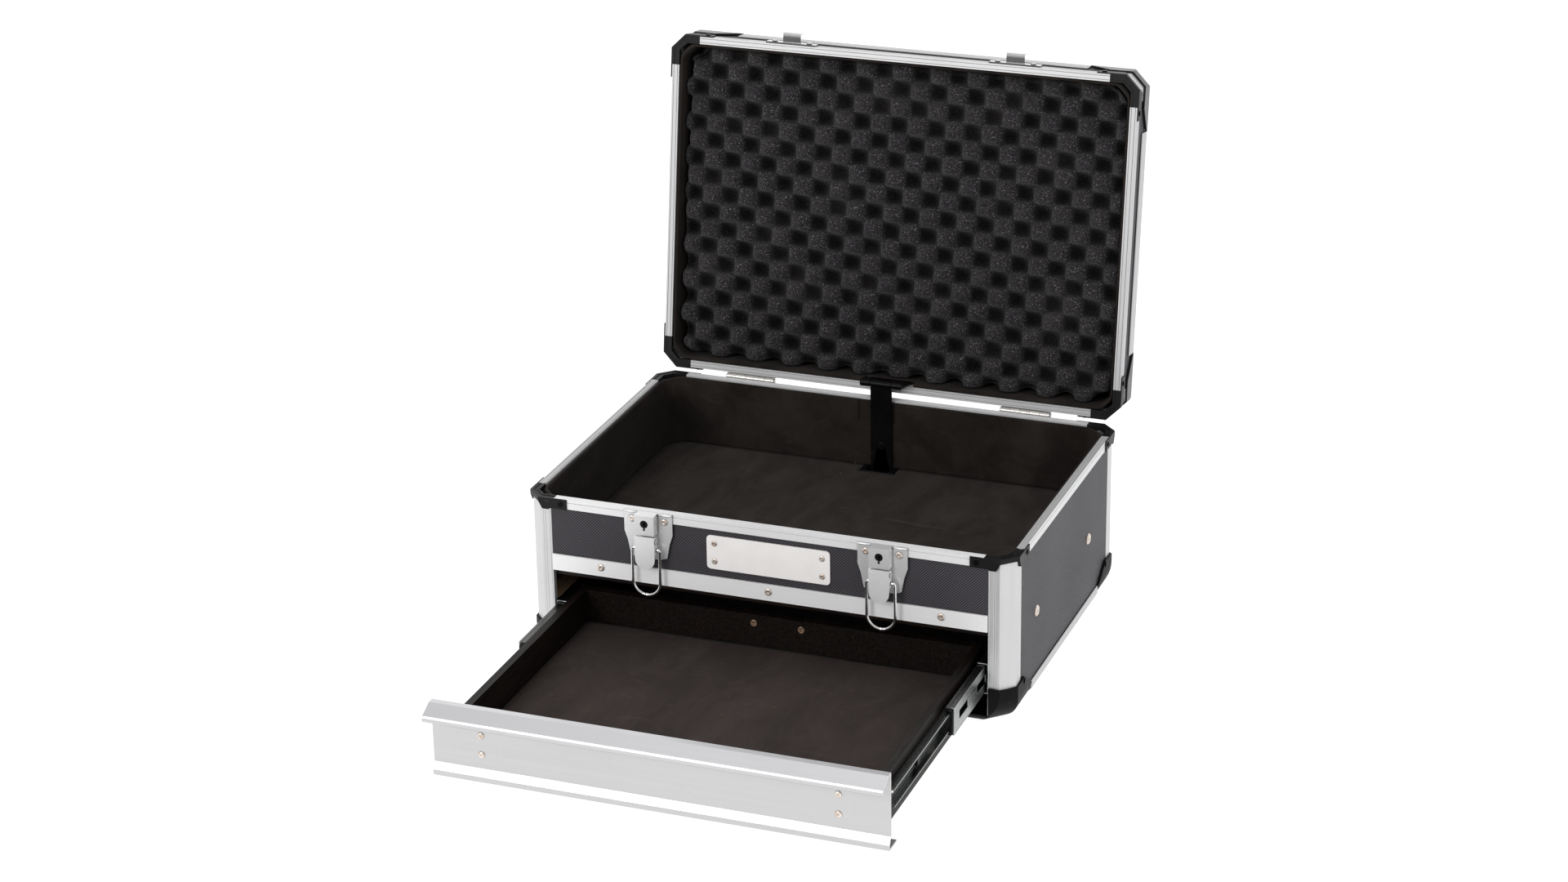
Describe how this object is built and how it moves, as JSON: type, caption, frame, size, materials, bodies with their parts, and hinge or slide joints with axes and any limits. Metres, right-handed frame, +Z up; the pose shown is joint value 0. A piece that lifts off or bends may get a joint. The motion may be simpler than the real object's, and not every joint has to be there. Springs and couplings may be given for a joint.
{
  "type": "tool case with drawer",
  "caption": "Aluminium-framed hard tool case: hinged foam-lined lid with stay, lined upper compartment, draw latches, and a full-width drawer on ball-bearing slides.",
  "frame": {"origin": "middle of the base's footprint on the ground, at the underside of the bottom panel", "axes": "+Z up, -Y to the front where the latches and the drawer are, +X to the right seen from the front; the rest pose has the lid open and the drawer pulled out"},
  "size_m": [0.4292, 0.6485, 0.4596],
  "materials": {
    "alu": "satin",
    "panel": "satin",
    "black_plastic": "satin",
    "liner_foam": "matte",
    "open_cell_foam": "matte",
    "dark_board": "matte",
    "raw_wood": "matte",
    "chrome_steel": "polished",
    "zinc_steel": "satin",
    "nickel_rivet": "polished",
    "black_steel": "satin",
    "plate_white": "satin",
    "rubber": "matte",
    "magnet_body": "satin"
  },
  "bodies": {
    "base": {"bottom_panel": "dark_board", "side_panels": "panel", "back_panel": "panel", "front_panel": "panel", "compartment_floor": "dark_board", "compartment_liner": "liner_foam", "compartment_mat": "liner_foam", "corner_posts": "alu", "base_rim": "alu", "base_rim_corners": "black_plastic", "base_corner_screws": "black_steel", "front_rail": "alu", "case_rivets": "nickel_rivet", "front_sill": "alu", "bottom_edging": "alu", "foot_corners": "black_plastic", "name_plate": "plate_white", "name_plate_rivets": "nickel_rivet", "latch_plates": "chrome_steel", "latch_plate_screws": "nickel_rivet", "latch_pivot_pins": "chrome_steel", "hinge_base_leaves": "zinc_steel", "hinge_pins": "zinc_steel", "slide_battens": "raw_wood", "slide_outer_members": "zinc_steel", "stay_slot_plate": "black_steel", "drawer_buffers": "rubber", "magnet_catch": "magnet_body"},
    "lid": {"lid_top_panel": "dark_board", "lid_side_panels": "panel", "lid_rim": "alu", "lid_rim_corners": "black_plastic", "lid_corner_screws": "black_steel", "lid_corner_posts": "alu", "lid_edging": "alu", "lid_corner_protectors": "black_plastic", "lid_liner": "liner_foam", "lid_foam": "open_cell_foam", "lid_strikes": "chrome_steel", "hinge_lid_leaves": "zinc_steel", "stay_bracket": "black_steel", "handle_brackets": "chrome_steel"},
    "drawer": {"drawer_front": "alu", "drawer_box_walls": "dark_board", "drawer_bottom": "dark_board", "drawer_mat": "liner_foam", "drawer_front_rivets": "nickel_rivet", "drawer_catch_plate": "zinc_steel", "drawer_back_screws": "nickel_rivet", "slide_inner_members": "zinc_steel"},
    "slide_middle_left": {"slide_middle_left": "zinc_steel"},
    "slide_middle_right": {"slide_middle_right": "zinc_steel"},
    "stay_strap": {"stay_strap": "black_steel"},
    "latch_lever_left": {"latch_lever_left": "chrome_steel"},
    "latch_lever_right": {"latch_lever_right": "chrome_steel"},
    "latch_bail_left": {"latch_bail_left": "chrome_steel"},
    "latch_bail_right": {"latch_bail_right": "chrome_steel"},
    "lock_plug_left": {"lock_plug_left": "zinc_steel"},
    "lock_plug_right": {"lock_plug_right": "zinc_steel"},
    "carry_handle": {"carry_handle": "black_plastic"}
  },
  "joints": [
    {"name": "lid_hinge", "type": "hinge", "parent": "base", "child": "lid", "pos_m": [0, 0.15338, 0.15005], "axis": [-1, 0, 0], "range_deg": [-98.05, 2]},
    {"name": "stay_pivot", "type": "hinge", "parent": "lid", "child": "stay_strap", "pos_m": [0, 0.13943, 0.16604], "axis": [-1, 0, 0], "range_deg": [-2, 98.05]},
    {"name": "drawer_slide", "type": "slide", "parent": "base", "child": "drawer", "axis": [0, -1, 0], "range_m": [-0.237, 0.013]},
    {"name": "middle_slide_left", "type": "slide", "parent": "base", "child": "slide_middle_left", "axis": [0, -1, 0], "range_m": [-0.1185, 0.0065]},
    {"name": "middle_slide_right", "type": "slide", "parent": "base", "child": "slide_middle_right", "axis": [0, -1, 0], "range_m": [-0.1185, 0.0065]},
    {"name": "latch_lever_left_pivot", "type": "hinge", "parent": "base", "child": "latch_lever_left", "pos_m": [-0.102, -0.1578, 0.1265], "axis": [-1, 0, 0], "range_deg": [0, 120]},
    {"name": "latch_bail_left_pivot", "type": "hinge", "parent": "latch_lever_left", "child": "latch_bail_left", "pos_m": [-0.102, -0.1566, 0.119], "axis": [1, 0, 0], "range_deg": [-181.5, 0]},
    {"name": "lock_plug_left_turn", "type": "hinge", "parent": "base", "child": "lock_plug_left", "pos_m": [-0.102, -0.155, 0.1424], "axis": [0, -1, 0], "range_deg": [0, 90]},
    {"name": "latch_lever_right_pivot", "type": "hinge", "parent": "base", "child": "latch_lever_right", "pos_m": [0.102, -0.1578, 0.1265], "axis": [-1, 0, 0], "range_deg": [0, 120]},
    {"name": "latch_bail_right_pivot", "type": "hinge", "parent": "latch_lever_right", "child": "latch_bail_right", "pos_m": [0.102, -0.1566, 0.119], "axis": [1, 0, 0], "range_deg": [-181.5, 0]},
    {"name": "lock_plug_right_turn", "type": "hinge", "parent": "base", "child": "lock_plug_right", "pos_m": [0.102, -0.155, 0.1424], "axis": [0, -1, 0], "range_deg": [0, 90]},
    {"name": "handle_pivot", "type": "hinge", "parent": "lid", "child": "carry_handle", "pos_m": [0, 0.2338, 0.30772], "axis": [1, 0, 0], "range_deg": [0, 90]}
  ],
  "couplings": [
    {"joint": "stay_pivot", "follows": "lid_hinge", "ratio": -1},
    {"joint": "middle_slide_left", "follows": "drawer_slide", "ratio": 0.5},
    {"joint": "middle_slide_right", "follows": "drawer_slide", "ratio": 0.5}
  ]
}
